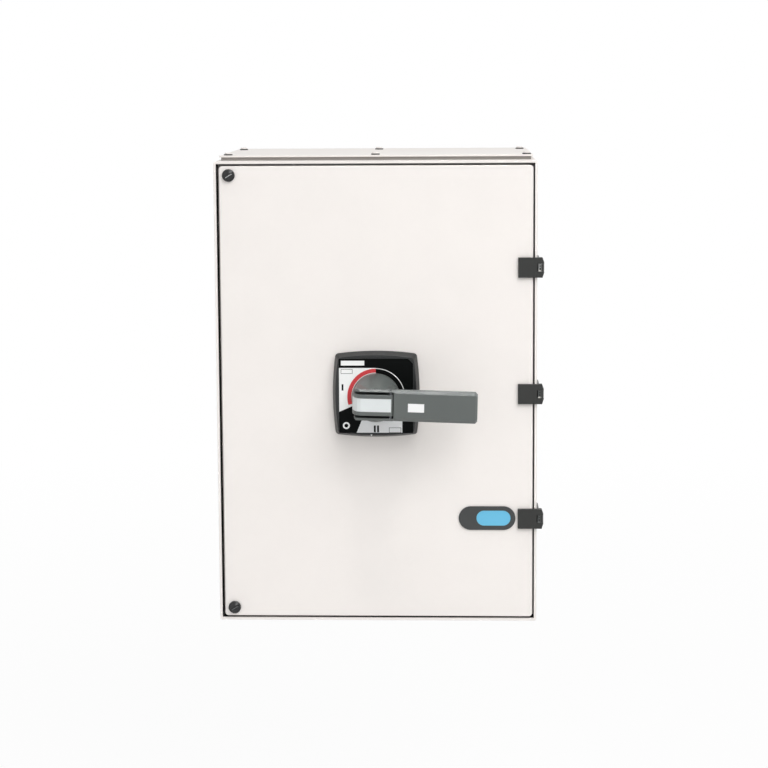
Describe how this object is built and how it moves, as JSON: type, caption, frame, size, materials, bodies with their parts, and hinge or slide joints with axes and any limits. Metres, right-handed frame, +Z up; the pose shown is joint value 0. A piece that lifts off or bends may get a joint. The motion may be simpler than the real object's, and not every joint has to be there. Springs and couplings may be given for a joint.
{
  "type": "manual changeover switch",
  "caption": "Wall-mounted sheet-steel enclosure with an inset hinged door, a rotary changeover handle with a padlock lever, and a stacked-pole switch inside.",
  "frame": {"origin": "centre of the wall fixing holes, on the outer face of the back wall", "axes": "+Y into the wall, so the door faces -Y; +Z up; +X to the right seen from the front, towards the hinges"},
  "size_m": [0.4083, 0.3557, 0.5924],
  "materials": {
    "body_paint": "fine-textured off-white powder coat, satin",
    "gasket_grey": "matt grey rubber foam",
    "galvanised": "galvanised sheet",
    "steel": "zinc-plated steel",
    "hinge_black": "matt black moulding",
    "lock_black": "smooth black moulding",
    "nameplate_dark": "dark printed foil on a thin plate",
    "nameplate_blue": "light blue printed field",
    "escutcheon_grey": "dark grey moulding, lightly textured",
    "dial_print": "printed label: grey, white, black and red",
    "handle_black": "dark grey moulding, satin",
    "pointer_light": "light grey moulding",
    "socket_grey": "grey moulding",
    "moulding_dark": "dark moulded insulation",
    "moulding_light": "light moulded insulation",
    "copper": "bare copper, dull"
  },
  "bodies": {
    "enclosure": {"enclosure_body": "body_paint", "gutter_ledge": "body_paint", "gutter_collar": "body_paint", "top_gland_plate": "body_paint", "bottom_gland_plate": "body_paint", "top_gland_gasket": "gasket_grey", "bottom_gland_gasket": "gasket_grey", "hinge_body_leaves": "hinge_black", "hinge_pins": "steel", "lock_strikers": "body_paint", "mounting_plate": "galvanised", "plate_standoffs": "steel", "plate_nuts": "steel", "earth_stud": "steel", "switch_base": "moulding_dark", "switch_deck_1": "moulding_light", "switch_deck_2": "moulding_light", "switch_deck_3": "moulding_light", "switch_deck_4": "moulding_light", "fixed_contacts": "copper", "load_links": "copper", "terminal_bolts": "steel", "switch_cover": "moulding_dark", "tie_rods": "steel", "index_housing": "moulding_dark"},
    "door": {"door_panel": "body_paint", "door_gasket": "gasket_grey", "door_stiffeners": "galvanised", "hinge_door_leaves": "hinge_black", "lock_bushes": "lock_black", "nameplate": "nameplate_dark", "nameplate_field": "nameplate_blue", "escutcheon": "escutcheon_grey", "dial_label": "dial_print"},
    "handle": {"handle": "handle_black", "padlock_lever_pin": "steel", "drive_socket": "socket_grey"},
    "padlock_lever": {"padlock_lever": "handle_black", "pointer_insert": "pointer_light"},
    "lock_upper": {"lock_upper_spindle": "lock_black", "lock_upper_tongue": "steel"},
    "lock_lower": {"lock_lower_spindle": "lock_black", "lock_lower_tongue": "steel"},
    "switch_shaft": {"operating_shaft": "steel", "rotor_hubs": "moulding_dark", "moving_blades": "copper", "index_cam": "moulding_light"}
  },
  "joints": [
    {"name": "door_swing", "type": "hinge", "parent": "enclosure", "child": "door", "pos_m": [0.2043, -0.277, 0], "axis": [0, 0, 1], "range_deg": [0, 120]},
    {"name": "handle_turn", "type": "hinge", "parent": "door", "child": "handle", "pos_m": [0, -0.29, -0.002], "axis": [0, -1, 0], "range_deg": [0, 90]},
    {"name": "shaft_turn", "type": "hinge", "parent": "enclosure", "child": "switch_shaft", "pos_m": [0, -0.1, -0.002], "axis": [0, -1, 0], "range_deg": [0, 90]},
    {"name": "lever_lift", "type": "hinge", "parent": "handle", "child": "padlock_lever", "pos_m": [0.01979, -0.3474, -0.00248], "axis": [0.0244, 0, 0.9997], "range_deg": [0, 30], "stiffness_Nm_per_rad": 0.02, "springref_deg": -11.46},
    {"name": "lock_upper_turn", "type": "hinge", "parent": "door", "child": "lock_upper", "pos_m": [-0.181, -0.27, 0.273], "axis": [0, -1, 0], "range_deg": [0, 90]},
    {"name": "lock_lower_turn", "type": "hinge", "parent": "door", "child": "lock_lower", "pos_m": [-0.181, -0.27, -0.273], "axis": [0, 1, 0], "range_deg": [0, 90]}
  ],
  "couplings": [
    {"joint": "shaft_turn", "follows": "handle_turn", "ratio": 1}
  ]
}
